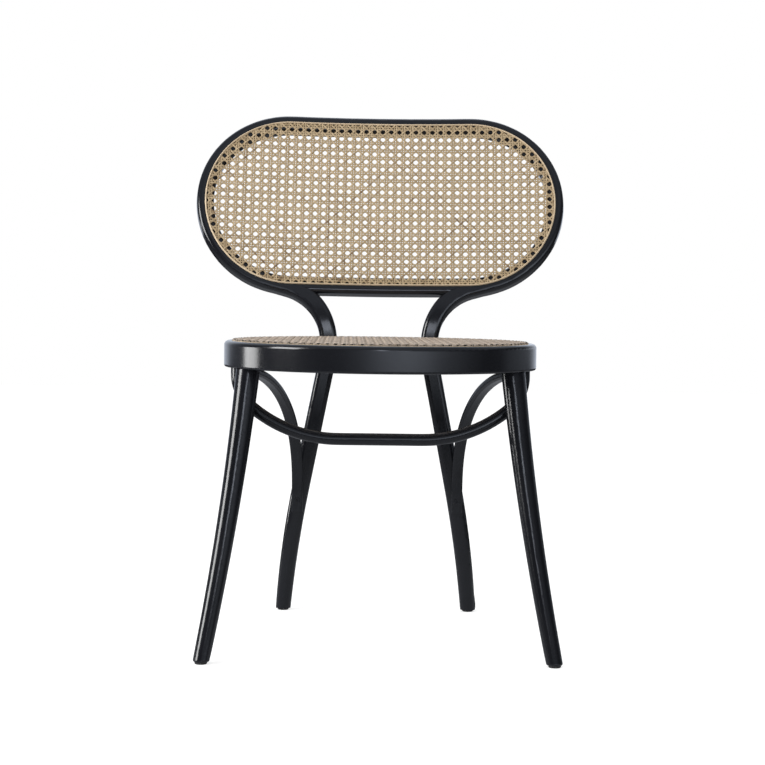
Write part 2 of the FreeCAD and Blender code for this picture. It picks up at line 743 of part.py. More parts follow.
# Front legs, stretcher and braces.
crossing_room = screw_hole(CROSSING_SCREW, CROSSING_AXIS)
leg = front_leg_shape().cut(crossing_room)
leg = leg.cut(cylinder(FRONT_FOOT, Vector(0, 0, 1), size("glide_pin_dia") / 2 + GAP / 2,
                       size("glide_pin_long") + GAP))
solid_feature("front_leg_right", leg)
solid_feature("front_leg_left", mirrored(leg))
stretcher_dowel = dowel_shape(STRETCHER_END, Vector(0, 0, 1), size("dowel_dia"), size("dowel_long"))
dowel_hole = dowel_shape(STRETCHER_END, Vector(0, 0, 1), size("dowel_dia") + GAP,
                         size("dowel_long") + GAP)
stretcher = stretcher_shape().cut(both(crossing_room)).cut(both(dowel_hole))
solid_feature("front_stretcher", stretcher)
brace_top_room = screw_hole(BRACE_TOP_SCREW, Vector(0, 0, 1))
brace = brace_shape().cut(screw_hole(BRACE_SCREW, Vector(0, 1, 0))).cut(brace_top_room)
solid_feature("brace_right", brace)
solid_feature("brace_left", mirrored(brace))
solid_feature("brace_leg_screws", both(screw_shape(BRACE_SCREW, Vector(0, 1, 0))))
solid_feature("brace_seat_screws", both(screw_shape(BRACE_TOP_SCREW, Vector(0, 0, 1))))
solid_feature("stretcher_leg_screws", both(screw_shape(CROSSING_SCREW, CROSSING_AXIS)))
solid_feature("stretcher_dowels", both(stretcher_dowel))

# Seat ring: turned from its section, then bored and notched.
blank = turned("seat_ring_blank", [
    ("seat_radius - seat_ring_width", "seat_height - seat_ring_depth"),
    ("seat_radius", "seat_height - seat_ring_depth"),
    ("seat_radius", "seat_height"),
    ("seat_radius - cane_lip", "seat_height"),
    ("seat_radius - cane_lip", "seat_height - spline_deep - fit_gap"),
    ("seat_radius - cane_lip - spline_wide - fit_gap", "seat_height - spline_deep - fit_gap"),
    ("seat_radius - cane_lip - spline_wide - fit_gap", "seat_height"),
    ("seat_radius - seat_ring_width", "seat_height"),
])


def round_edge(body, name, alias, radius, height):
    """Fillet the circular edge of a body at a radius and a height."""
    base = body.Tip
    names = []
    for i, edge in enumerate(base.Shape.Edges, start=1):
        circle = edge.Curve
        if isinstance(circle, Part.Circle) and abs(circle.Radius - radius) < 0.01:
            if abs(circle.Center.z - height) < 0.01:
                names.append("Edge%d" % i)
    fillet = body.newObject("PartDesign::Fillet", name)
    fillet.Base = (base, names)
    fillet.setExpression("Radius", "sizes." + alias)
    body.Tip = fillet
    doc.recompute()


round_edge(blank, "ring_top_round", "seat_edge_round", size("seat_radius"), RING_TOP)
round_edge(blank, "ring_lower_round", "seat_lower_round", size("seat_radius"), RING_BOTTOM)

# The flat seat for the bow is square to the bow, which the curve of the back turns a little.
seat_place, seat_normal = on_back(size("waist_half"), RING_MIDDLE, HALF_ROD + GAP)
notch = Part.makeBox(size("rod_size") + 2 * GAP + size("notch_spare"), size("seat_ring_width"),
                     2 * size("seat_ring_depth"),
                     Vector(-HALF_ROD - GAP, 0, -size("seat_ring_depth")))
notch.Placement = FreeCAD.Placement(seat_place, FreeCAD.Rotation(Vector(0, -1, 0), seat_normal))
NUT_FACE = math.sqrt((size("seat_radius") - size("seat_ring_width")) ** 2
                     - (size("waist_half") - size("washer_dia") / 2) ** 2) + 1.0
washer_room = cylinder(BOLT + Vector(0, NUT_FACE - BOW_Y, 0), Vector(0, -1, 0),
                       size("washer_dia") / 2 + 1.0, size("seat_ring_width"))
socket = cylinder(leg_axis(0), Vector(0, 0, 1), size("tenon_dia") / 2 + GAP / 2,
                  size("tenon_long") + GAP)
ring_cuts = doc.addObject("Part::Feature", "seat_ring_cuts")
ring_cuts.Shape = Part.makeCompound([both(notch), both(washer_room), both(socket), bolt_room,
                                     both(dowel_hole), both(brace_top_room)])
ring = doc.addObject("Part::Cut", "seat_ring")
ring.Base = blank
ring.Tool = ring_cuts
PARTS.append(ring)

cane_sheet = turned("seat_cane_sheet", [
    ("0", "seat_height"),
    ("seat_radius - cane_lip - spline_wide - fit_gap - fit_gap", "seat_height"),
    ("seat_radius - cane_lip - spline_wide - fit_gap - fit_gap", "seat_height + cane_thick"),
    ("0", "seat_height + cane_thick"),
])
CANE_RADIUS = SPLINE_OUTER - size("spline_wide") - 2 * GAP
cane_trim = cylinder(Vector(0, 0, RING_BOTTOM), Vector(0, 0, 1), CANE_RADIUS - size("cane_rim"),
                     2 * size("seat_ring_depth"))
cane_openings = doc.addObject("Part::Feature", "seat_cane_openings")
cane_openings.Shape = grid_openings(
    CANE_RADIUS, CANE_RADIUS, FreeCAD.Placement(Vector(0, 0, RING_TOP), FreeCAD.Rotation()), cane_trim)
cane = doc.addObject("Part::Cut", "seat_cane")
cane.Base = cane_sheet
cane.Tool = cane_openings
PARTS.append(cane)
spline = turned("seat_spline", [
    ("seat_radius - cane_lip - spline_wide - fit_gap * 0.5", "seat_height - spline_deep"),
    ("seat_radius - cane_lip - fit_gap * 0.5", "seat_height - spline_deep"),
    ("seat_radius - cane_lip - fit_gap * 0.5", "seat_height + cane_thick + spline_proud"),
    ("seat_radius - cane_lip - spline_wide - fit_gap * 0.5",
     "seat_height + cane_thick + spline_proud"),
])
PARTS.append(spline)


# Bolts, washers and nuts that hold the bow to the ring.
def pair(label, thing, place, axis):
    """Stand a turned body at a place, add its mirror image and group the two."""
    thing.Placement = FreeCAD.Placement(place, FreeCAD.Rotation(Vector(0, 0, 1), axis))
    image = doc.addObject("Part::Mirroring", label + "_mirror")
    image.Source = thing
    image.Base = Vector(0, 0, 0)
    image.Normal = Vector(1, 0, 0)
    group = doc.addObject("Part::Compound", label)
    group.Links = [thing, image]
    PARTS.append(group)
    return group


BOLT_BACK = BOW_Y + HALF_ROD
bolt_reach = BOLT_BACK - NUT_FACE + size("washer_thick") + size("nut_high") + 2.0
sheet.set("B%d" % (len(SIZES) + 1), str(bolt_reach))
sheet.set("A%d" % (len(SIZES) + 1), "bolt under its head, from the rear leg's back to past the nut")
sheet.setAlias("B%d" % (len(SIZES) + 1), "bolt_long")
SIZES.append(("bolt_long", bolt_reach, "bolt under its head"))
ALIASES.add("bolt_long")
doc.recompute()
bolt = turned("seat_bolt", [
    ("0", "0"),
    ("bolt_head_dia * 0.5", "0"),
    ("bolt_head_dia * 0.42", "bolt_head_high * 0.62"),
    ("bolt_head_dia * 0.25", "bolt_head_high * 0.92"),
    ("0", "bolt_head_high"),
])
shank = doc.addObject("Part::Cylinder", "seat_bolt_shank")
shank.setExpression("Radius", "sizes.bolt_dia / 2")
shank.setExpression("Height", "sizes.bolt_long")
shank.setExpression("Placement.Base.z", "-sizes.bolt_long")
whole_bolt = doc.addObject("Part::Fuse", "seat_bolt_whole")
whole_bolt.Base = bolt
whole_bolt.Tool = shank
pair("seat_bolts", whole_bolt, Vector(BOLT.x, BOLT_BACK, BOLT.z), Vector(0, 1, 0))
washer = turned("seat_washer", [
    ("bolt_dia * 0.5 + fit_gap", "0"),
    ("washer_dia * 0.5", "0"),
    ("washer_dia * 0.5", "washer_thick"),
    ("bolt_dia * 0.5 + fit_gap", "washer_thick"),
])
pair("seat_washers", washer, Vector(BOLT.x, NUT_FACE, BOLT.z), Vector(0, -1, 0))
hexagon = doc.addObject("Part::Prism", "seat_nut_hexagon")
hexagon.Polygon = 6
hexagon.setExpression("Circumradius", "sizes.nut_across / 1.7320508")
hexagon.setExpression("Height", "sizes.nut_high")
nut_bore = doc.addObject("Part::Cylinder", "seat_nut_bore")
nut_bore.setExpression("Radius", "sizes.bolt_dia / 2 + 0.02")
nut_bore.setExpression("Height", "sizes.nut_high")
nut = doc.addObject("Part::Cut", "seat_nut")
nut.Base = hexagon
nut.Tool = nut_bore
pair("seat_nuts", nut, Vector(BOLT.x, NUT_FACE - size("washer_thick"), BOLT.z), Vector(0, -1, 0))

# A glide with its pin under each foot.
GLIDES = [
    ("glide_front_right", FRONT_FOOT, 1),
    ("glide_front_left", FRONT_FOOT, -1),
    ("glide_rear_right", REAR_FOOT, 1),
    ("glide_rear_left", REAR_FOOT, -1),
]
for label, foot, side in GLIDES:
    glide = turned(label, [
        ("0", "0"),
        ("glide_dia * 0.5 - glide_thick * 0.3", "0"),
        ("glide_dia * 0.5", "glide_thick * 0.4"),
        ("glide_dia * 0.5", "glide_thick"),
        ("glide_pin_dia * 0.5", "glide_thick"),
        ("glide_pin_dia * 0.5", "glide_thick + glide_pin_long"),
        ("0", "glide_thick + glide_pin_long"),
    ])
    glide.Placement = FreeCAD.Placement(Vector(foot.x * side, foot.y, 0), FreeCAD.Rotation())
    PARTS.append(glide)

doc.recompute()

# Move the chair so that the origin is under the middle of its whole depth.
depths = []
for part in PARTS:
    depths.extend(point.y for point in part.Shape.tessellate(0.1)[0])
shift = Vector(0, -(min(depths) + max(depths)) / 2, 0)
for part in PARTS:
    part.Placement = FreeCAD.Placement(shift, FreeCAD.Rotation()).multiply(part.Placement)
doc.recompute()

for thing in doc.Objects:
    if "Invalid" in thing.State or "Error" in thing.State:
        raise RuntimeError("%s did not recompute: %s" % (thing.Label, thing.State))
os.makedirs("parts", exist_ok=True)
for part in PARTS:
    shape = part.Shape
    if shape.isNull() or not shape.isValid() or not shape.Solids:
        raise RuntimeError("%s has no valid solid" % part.Label)
    shape.exportStep("parts/%s.step" % part.Label)
    print("%-22s %d solids %12.1f mm3" % (part.Label, len(shape.Solids), shape.Volume))
print("depth %.1f, shifted along Y by %.2f" % (max(depths) - min(depths), shift.y))
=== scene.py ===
"""Bentwood chair with a caned seat and back: finishes, cane work, camera and light."""

import logging
import math
import random
from dataclasses import dataclass, field
from enum import Enum
from typing import Any, Callable, ClassVar, Iterable, Mapping, Sequence

import bpy
from mathutils import Matrix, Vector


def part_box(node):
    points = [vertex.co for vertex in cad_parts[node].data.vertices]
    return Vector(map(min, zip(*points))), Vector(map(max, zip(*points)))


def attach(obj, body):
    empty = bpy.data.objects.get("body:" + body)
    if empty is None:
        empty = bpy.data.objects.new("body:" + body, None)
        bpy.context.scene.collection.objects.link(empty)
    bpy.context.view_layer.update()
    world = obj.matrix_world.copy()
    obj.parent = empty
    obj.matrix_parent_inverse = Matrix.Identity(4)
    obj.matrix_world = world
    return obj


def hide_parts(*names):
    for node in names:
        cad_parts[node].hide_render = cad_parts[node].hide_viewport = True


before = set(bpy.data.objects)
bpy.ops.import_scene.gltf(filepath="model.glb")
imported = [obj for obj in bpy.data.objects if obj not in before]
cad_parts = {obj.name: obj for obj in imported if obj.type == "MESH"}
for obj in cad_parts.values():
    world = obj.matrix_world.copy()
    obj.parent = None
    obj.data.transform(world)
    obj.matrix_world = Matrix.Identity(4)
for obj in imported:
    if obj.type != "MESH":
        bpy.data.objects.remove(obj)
LOG = logging.getLogger("chair")
BODY = "root"

Point = tuple[float, float]
Place = tuple[float, float, float]
Colour = tuple[float, float, float]
Strand = tuple[Point, Point, float]

WHITE = (1.0, 1.0, 1.0)
TONE_MEAN = 0.55
TONE_SPREAD = 0.22
LOOP_TONE = 0.7


class Wire:
    """A value socket of a node tree on which Python arithmetic works."""

    def __init__(self, board: "Board", socket: bpy.types.NodeSocket) -> None:
        """Keep the socket and the board that it belongs to."""
        self.board = board
        self.socket = socket

    def maths(self, operation: str, *others: Any, swapped: bool = False) -> "Wire":
        """Add one Math node.

        Args:
            operation: name of the Math node's operation.
            others: further operands, wires or numbers.
            swapped: put the first of the others before this wire.

        Returns:
            The node's result.
        """
        operands: list[Any] = [self, *others]
        if swapped:
            operands[0], operands[1] = operands[1], operands[0]
        node = self.board.add("ShaderNodeMath", {"operation": operation},
                              dict(enumerate(operands)))
        return self.board.wire(node)

    def __add__(self, other: Any) -> "Wire":
        """Sum."""
        return self.maths("ADD", other)

    def __radd__(self, other: Any) -> "Wire":
        """Sum with a number on the left."""
        return self.maths("ADD", other)

    def __sub__(self, other: Any) -> "Wire":
        """Difference."""
        return self.maths("SUBTRACT", other)

    def __rsub__(self, other: Any) -> "Wire":
        """Difference from a number on the left."""
        return self.maths("SUBTRACT", other, swapped=True)

    def __mul__(self, other: Any) -> "Wire":
        """Product."""
        return self.maths("MULTIPLY", other)

    def __rmul__(self, other: Any) -> "Wire":
        """Product with a number on the left."""
        return self.maths("MULTIPLY", other)

    def __truediv__(self, other: Any) -> "Wire":
        """Quotient."""
        return self.maths("DIVIDE", other)

    def __neg__(self) -> "Wire":
        """Negative."""
        return self.maths("MULTIPLY", -1.0)


class Board:
    """A node tree that is built by calls."""

    def __init__(self, tree: bpy.types.NodeTree) -> None:
        """Keep the tree."""
        self.tree = tree

    def add(self, kind: str, settings: Mapping[str, Any] | None = None,
            sockets: Mapping[Any, Any] | None = None) -> bpy.types.Node:
        """Add a node.

        Args:
            kind: the node's type name.
            settings: properties, set before the sockets; "stops" sets a colour ramp.
            sockets: inputs by name or number, each a wire, a socket or a plain value.

        Returns:
            The new node.
        """
        node = self.tree.nodes.new(kind)
        for name, value in (settings or {}).items():
            if name == "stops":
                self._set_stops(node, value)
            else:
                setattr(node, name, value)
        for key, value in (sockets or {}).items():
            if isinstance(value, Wire):
                self.tree.links.new(value.socket, node.inputs[key])
            elif isinstance(value, bpy.types.NodeSocket):
                self.tree.links.new(value, node.inputs[key])
            else:
                node.inputs[key].default_value = value
        return node

    def wire(self, node: bpy.types.Node, output: Any = 0) -> Wire:
        """An output of a node as a wire."""
        return Wire(self, node.outputs[output])

    def value(self, kind: str, settings: Mapping[str, Any] | None = None,
              sockets: Mapping[Any, Any] | None = None, output: Any = 0) -> Wire:
        """Add a node and return one of its outputs."""
        return self.wire(self.add(kind, settings, sockets), output)

    @staticmethod
    def _set_stops(node: bpy.types.Node, stops: Sequence[tuple[float, Colour]]) -> None:
        """Give a colour ramp its stops.

        Args:
            node: the ramp, as new, with two stops.
            stops: place and colour of each stop, in order.
        """
        elements = node.color_ramp.elements
        while len(elements) < len(stops):
            elements.new(1.0)
        for element, (place, colour) in zip(elements, stops):
            element.position = place
            element.color = (*colour, 1.0)


class Finish:
    """Base of the finishes: makes a material with a Principled shader."""

    name = "finish"

    def paint(self, board: Board, shader: bpy.types.Node) -> None:
        """Set the shader's sockets; each finish does this in its own way."""
        raise NotImplementedError

    def material(self) -> bpy.types.Material:
        """The finish as a material, made once.

        Returns:
            The material with this finish's name.
        """
        known = bpy.data.materials.get(self.name)
        if known is not None:
            return known
        made = bpy.data.materials.new(self.name)
        made.use_nodes = True
        made.node_tree.nodes.clear()
        board = Board(made.node_tree)
        shader = board.add("ShaderNodeBsdfPrincipled")
        board.add("ShaderNodeOutputMaterial", None, {"Surface": shader.outputs[0]})
        self.paint(board, shader)
        return made


def linked(board: Board, shader: bpy.types.Node, **links: Wire) -> None:
    """Link wires to a shader's sockets, with underscores for the spaces in their names."""
    for name, wire in links.items():
        board.tree.links.new(wire.socket, shader.inputs[name.replace("_", " ")])


@dataclass(frozen=True)
class BlackLacquer(Finish):
    """Sprayed satin lacquer on bent beech: deep black, with a trace of the grain."""

    name: str = "black_lacquer"
    colour: Colour = (0.0068, 0.0074, 0.0098)
    worn: Colour = (0.0100, 0.0107, 0.0134)
    gloss: float = 0.15
    gloss_spread: float = 0.06
    grain_spread: float = 0.04
    cloud_scale: float = 9.0
    grain_scale: Place = (420.0, 420.0, 24.0)
    spray_scale: float = 620.0
    spray_share: float = 0.6
    grain_share: float = 0.4
    bump_strength: float = 0.016
    bump_depth: float = 0.00006
    refraction: float = 1.5

    def paint(self, board: Board, shader: bpy.types.Node) -> None:
        """Grain and spray texture in the roughness and a faint bump.

        Args:
            board: the material's node tree.
            shader: its Principled shader.
        """
        place = board.value("ShaderNodeTexCoord", output="Object")
        cloud = board.value("ShaderNodeTexNoise", None,
                            {"Vector": place, "Scale": self.cloud_scale, "Detail": 3.0})
        stretched = board.value("ShaderNodeMapping", None,
                                {"Vector": place, "Scale": self.grain_scale})
        grain = board.value("ShaderNodeTexNoise", None,
                            {"Vector": stretched, "Scale": 1.0, "Detail": 2.0})
        spray = board.value("ShaderNodeTexNoise", None,
                            {"Vector": place, "Scale": self.spray_scale, "Detail": 1.0})
        tone = board.value("ShaderNodeValToRGB",
                           {"stops": [(0.35, self.colour), (0.75, self.worn)]}, {"Fac": cloud})
        rough = (cloud * self.gloss_spread + grain * self.grain_spread
                 + (self.gloss - self.grain_spread))
        height = spray * self.spray_share + grain * self.grain_share
        bump = board.value("ShaderNodeBump", None,
                           {"Strength": self.bump_strength, "Distance": self.bump_depth,
                            "Height": height})
        shader.inputs["IOR"].default_value = self.refraction
        linked(board, shader, Base_Color=tone, Roughness=rough, Normal=bump)


@dataclass(frozen=True)
class SplitCane(Finish):
    """Split cane: pale skin with brown streaks that run along each strand."""

    name: str = "split_cane"
    pale: Colour = (0.54, 0.415, 0.258)
    middle: Colour = (0.39, 0.288, 0.166)
    brown: Colour = (0.15, 0.085, 0.042)
    streaks: float = 0.55
    strand_share: float = 0.55
    broad_share: float = 0.25
    fine_share: float = 0.18
    darkening: float = 0.24
    streak_length_scale: float = 38.0
    strand_difference: float = 91.0
    fine_scale: float = 1300.0
    broad_scale: float = 14.0
    rough: float = 0.34
    rough_spread: float = 0.22
    bump_strength: float = 0.35
    bump_depth: float = 0.00012
    refraction: float = 1.45

    def paint(self, board: Board, shader: bpy.types.Node) -> None:
        """Tone of the strand, streaks along it and small dark marks.

        Args:
            board: the material's node tree.
            shader: its Principled shader.
        """
        tone = board.value("ShaderNodeAttribute", {"attribute_name": "tone"}, output="Fac")
        along = board.value("ShaderNodeAttribute", {"attribute_name": "along"}, output="Fac")
        place = board.value("ShaderNodeTexCoord", output="Object")
        lengthwise = board.value(
            "ShaderNodeCombineXYZ", None,
            {0: along * self.streak_length_scale, 1: tone * self.strand_difference})
        streak = board.value("ShaderNodeTexNoise", None,
                             {"Vector": lengthwise, "Scale": 1.0, "Detail": 4.0,
                              "Roughness": 0.65})
        fine = board.value("ShaderNodeTexNoise", None,
                           {"Vector": place, "Scale": self.fine_scale, "Detail": 2.0})
        broad = board.value("ShaderNodeTexNoise", None,
                            {"Vector": place, "Scale": self.broad_scale})
        mixed = (tone * self.strand_share + streak * self.streaks + broad * self.broad_share
                 + fine * self.fine_share - self.darkening)
        stops = [(0.18, self.brown), (0.40, self.middle), (0.78, self.pale)]
        colour = board.value("ShaderNodeValToRGB", {"stops": stops}, {"Fac": mixed})
        bump = board.value("ShaderNodeBump", None,
                           {"Strength": self.bump_strength, "Distance": self.bump_depth,
                            "Height": fine})
        shader.inputs["IOR"].default_value = self.refraction
        linked(board, shader, Base_Color=colour,
               Roughness=self.rough + streak * self.rough_spread, Normal=bump)


@dataclass(frozen=True)
class ShadedSeatCane(SplitCane):
    """Cane of the seat: a greyer, darker copy of the cane, as painted shade on the seat's top
    face.
    """

    name: str = "seat_cane_painted_shade"
    # Darker and greyer than the cane of the back: painted shade.
    pale: Colour = (0.50, 0.415, 0.335)
    middle: Colour = (0.385, 0.31, 0.245)
    brown: Colour = (0.15, 0.105, 0.075)


@dataclass(frozen=True)
class PeeledReed(SplitCane):
    """Peeled reed of the splines, paler and more even than the cane."""

    name: str = "peeled_reed"
    pale: Colour = (0.72, 0.585, 0.41)
    middle: Colour = (0.62, 0.48, 0.315)
    brown: Colour = (0.42, 0.29, 0.17)
    streaks: float = 0.4


@dataclass(frozen=True)
class GapShade(SplitCane):
    """Painted shade: near-black strand ends, as dark as the shadow deep in the gaps beside the
    reed.
    """

    name: str = "gap_shade"
    # Near-black colours: painted shade, not a colour of the cane.
    pale: Colour = (0.030, 0.024, 0.018)
    middle: Colour = (0.020, 0.016, 0.012)
    brown: Colour = (0.010, 0.008, 0.006)


@dataclass(frozen=True)
class Metal(Finish):
    """Screws and bolts, blackened or plated, with fine turning marks."""

    name: str = "blackened_steel"
    colour: Colour = (0.03, 0.03, 0.032)
    gloss: float = 0.34
    gloss_spread: float = 0.15
    marks_scale: float = 900.0
    brighter: float = 1.5
    bump_strength: float = 0.1
    bump_depth: float = 0.00005
    metallic: float = 0.9

    def paint(self, board: Board, shader: bpy.types.Node) -> None:
        """Fine marks in the roughness and the bump.

        Args:
            board: the material's node tree.
            shader: its Principled shader.
        """
        place = board.value("ShaderNodeTexCoord", output="Object")
        marks = board.value("ShaderNodeTexNoise", None,
                            {"Vector": place, "Scale": self.marks_scale, "Detail": 2.0})
        bright = tuple(self.brighter * part for part in self.colour)
        tone = board.value("ShaderNodeValToRGB",
                           {"stops": [(0.3, self.colour), (0.8, bright)]}, {"Fac": marks})
        bump = board.value("ShaderNodeBump", None,
                           {"Strength": self.bump_strength, "Distance": self.bump_depth,
                            "Height": marks})
        shader.inputs["Metallic"].default_value = self.metallic
        linked(board, shader, Base_Color=tone,
               Roughness=self.gloss + marks * self.gloss_spread, Normal=bump)


@dataclass(frozen=True)
class PlainSolid(Finish):
    """Raw wood or plastic with a light mottle and a matt skin."""

    name: str = "raw_beech"
    colour: Colour = (0.58, 0.41, 0.25)
    shade: Colour = (0.45, 0.30, 0.17)
    rough: float = 0.6
    rough_spread: float = 0.1
    mottle_scale: float = 260.0
    bump_strength: float = 0.15
    bump_depth: float = 0.0001

    def paint(self, board: Board, shader: bpy.types.Node) -> None:
        """Mottle between two tones.

        Args:
            board: the material's node tree.
            shader: its Principled shader.
        """
        place = board.value("ShaderNodeTexCoord", output="Object")
        mottle = board.value("ShaderNodeTexNoise", None,
                             {"Vector": place, "Scale": self.mottle_scale, "Detail": 3.0})
        tone = board.value("ShaderNodeValToRGB",
                           {"stops": [(0.3, self.shade), (0.7, self.colour)]},
                           {"Fac": mottle})
        bump = board.value("ShaderNodeBump", None,
                           {"Strength": self.bump_strength, "Distance": self.bump_depth,
                            "Height": mottle})
        linked(board, shader, Base_Color=tone,
               Roughness=self.rough + mottle * self.rough_spread, Normal=bump)


@dataclass(frozen=True)
class Outline:
    """Flat oval: all points nearer than a radius to a level line through the centre."""

    radius: float
    half_straight: float = 0.0

    NARROWING_STEPS: ClassVar[int] = 60
    HALVING_STEPS: ClassVar[int] = 40
    LEAST_POINTS: ClassVar[int] = 12

    def distance(self, x: float, y: float) -> float:
        """Distance of a point from that line."""
        beyond = max(0.0, abs(x) - self.half_straight)
        return math.hypot(beyond, y)

    def span(self, start: Point, way: Point) -> tuple[float, float] | None:
        """Stretch of a straight line inside the oval.

        Args:
            start: a point of the line.
            way: unit direction of the line.

        Returns:
            Where the line enters and leaves, as distances from its start, or None.
        """
        reach = 2.0 * (self.radius + self.half_straight)

        def away(t: float) -> float:
            """Distance from the oval's level line, this far along the straight line."""
            return self.distance(start[0] + way[0] * t, start[1] + way[1] * t)

        low, high = -reach, reach
        for _ in range(self.NARROWING_STEPS):
            third = (high - low) / 3.0
            if away(low + third) < away(high - third):
                high -= third
            else:
                low += third
        middle = (low + high) / 2.0
        if away(middle) >= self.radius:
            return None
        return self._edge(away, middle, -reach), self._edge(away, middle, reach)

    def _edge(self, away: Callable[[float], float], inside: float, outside: float) -> float:
        """Place between an inner and an outer point at which the line meets the oval.

        Args:
            away: distance from the oval's level line, by place on the line.
            inside: a place in the oval.
            outside: a place out of it.

        Returns:
            The place of the crossing.
        """
        for _ in range(self.HALVING_STEPS):
            middle = (inside + outside) / 2.0
            if away(middle) < self.radius:
                inside = middle
            else:
                outside = middle
        return inside

    def loop(self, step: float) -> list[Point]:
        """Points round the oval, at an even step on the bends.

        Args:
            step: wanted distance between two points of a bend.

        Returns:
            The points in order, the first not repeated at the end.
        """
        count = max(self.LEAST_POINTS, round(math.pi * self.radius / step))
        points = []
        for side in (1.0, -1.0):
            for i in range(count + 1):
                turn = side * math.pi / 2.0 - math.pi * i / count
                points.append((side * self.half_straight + self.radius * math.cos(turn),
                               self.radius * math.sin(turn)))
            if self.half_straight == 0.0:
                points.pop()
        return points


@dataclass(frozen=True)
class Panel:
    """Surface that carries a sheet of cane, bent to a radius about its upward line."""

    centre: Place
    lean: float
    curvature: float
    outline: Outline
    standoff: float
    rise: float = 0.0
    rise_width: float = 0.012


class Lay(Enum):
    """Directions in which the strands of the six-way weave run."""

    UPRIGHT = "upright"
    LEVEL = "level"
    RISING = "rising"
    FALLING = "falling"


@dataclass(frozen=True)
class Weave:
    """Sizes of the woven cane: a square mesh of pairs, crossed by two sets of diagonals."""

    pitch: Point = (0.01387, 0.01344)
    origin: Point = (0.0097, -0.0001)
    tilt: float = math.radians(-0.34)
    pair: float = 0.135
    wide: float = 0.0024
    diagonal_wide: float = 0.0028
    thick: float = 0.0008
    lift: float = 0.00045
    diagonal_lift: float = 0.00085
    unevenness: float = 0.00016
    seed: int = 11

    def lines(self, lay: Lay, outline: Outline) -> list[Strand]:
        """Straight strands of one direction, trimmed to the outline.

        Args:
            lay: the direction.
            outline: flat outline of the sheet.

        Returns:
            Two ends and the side, 1 or -1, that says how the strand's wave begins.
        """
        chance = random.Random(self.seed + len(lay.value))
        reach = int(2.0 * (outline.radius + outline.half_straight) / min(self.pitch)) + 2
        found = []
        for number in range(-reach, reach + 1):
            for start, way, side in self._starts(lay, number):
                shift = chance.gauss(0.0, self.unevenness)
                start = (start[0] + shift, start[1] + shift)
                start, way = self._turned(start), self._turned(way)
                span = outline.span(start, way)
                if span is not None and span[1] - span[0] > self.wide:
                    ends = [(start[0] + way[0] * t, start[1] + way[1] * t) for t in span]
                    found.append((ends[0], ends[1], side))
        return found

    def _starts(self, lay: Lay, number: int) -> Iterable[Strand]:
        """Strands with one number, before the weave is turned.

        Args:
            lay: the direction in which they run.
            number: count of meshes from the middle.

        Yields:
            A point, a unit direction and a side for each strand.
        """
        across, up = self.pitch
        x0, y0 = self.origin
        if lay in (Lay.UPRIGHT, Lay.LEVEL):
            for side in (1.0, -1.0):
                place = number + side * self.pair
                if lay is Lay.UPRIGHT:
                    yield (x0 + place * across, y0), (0.0, 1.0), side
                else:
                    yield (x0, y0 + place * up), (1.0, 0.0), -side
            return
        slope = 1.0 if lay is Lay.RISING else -1.0
        length = math.hypot(across, up)
        way = (across / length, slope * up / length)
        yield (x0 + (number + 0.5) * across, y0), way, slope

    def _turned(self, point: Point) -> Point:
        """A point or direction turned by the tilt of the weave."""
        cosine, sine = math.cos(self.tilt), math.sin(self.tilt)
        return (point[0] * cosine - point[1] * sine, point[0] * sine + point[1] * cosine)


@dataclass(frozen=True)
class GapRow:
    """Row of dark strips of painted shade beside the reed, where the strands dive into their
    groove.
    """

    count: int = 110
    long: float = 0.0050
    wide: float = 0.0012
    deep: float = 0.0026
    inset: float = 0.0009
    floor: float = 0.0002
    turn: float = -0.0099

    def lines(self, rim: float) -> list[Strand]:
        """One short straight line for each gap.

        Args:
            rim: radius of the sheet of cane.

        Returns:
            Two ends and a side of 1 for each gap, in order round the rim.
        """
        radius = rim - self.inset
        half = self.long / 2.0 / radius
        found = []
        for number in range(self.count):
            around = self.turn - math.pi / 2.0 + 2.0 * math.pi * number / self.count
            first, last = ((radius * math.cos(around + side * half),
                            radius * math.sin(around + side * half)) for side in (-1.0, 1.0))
            found.append((first, last, 1.0))
        return found


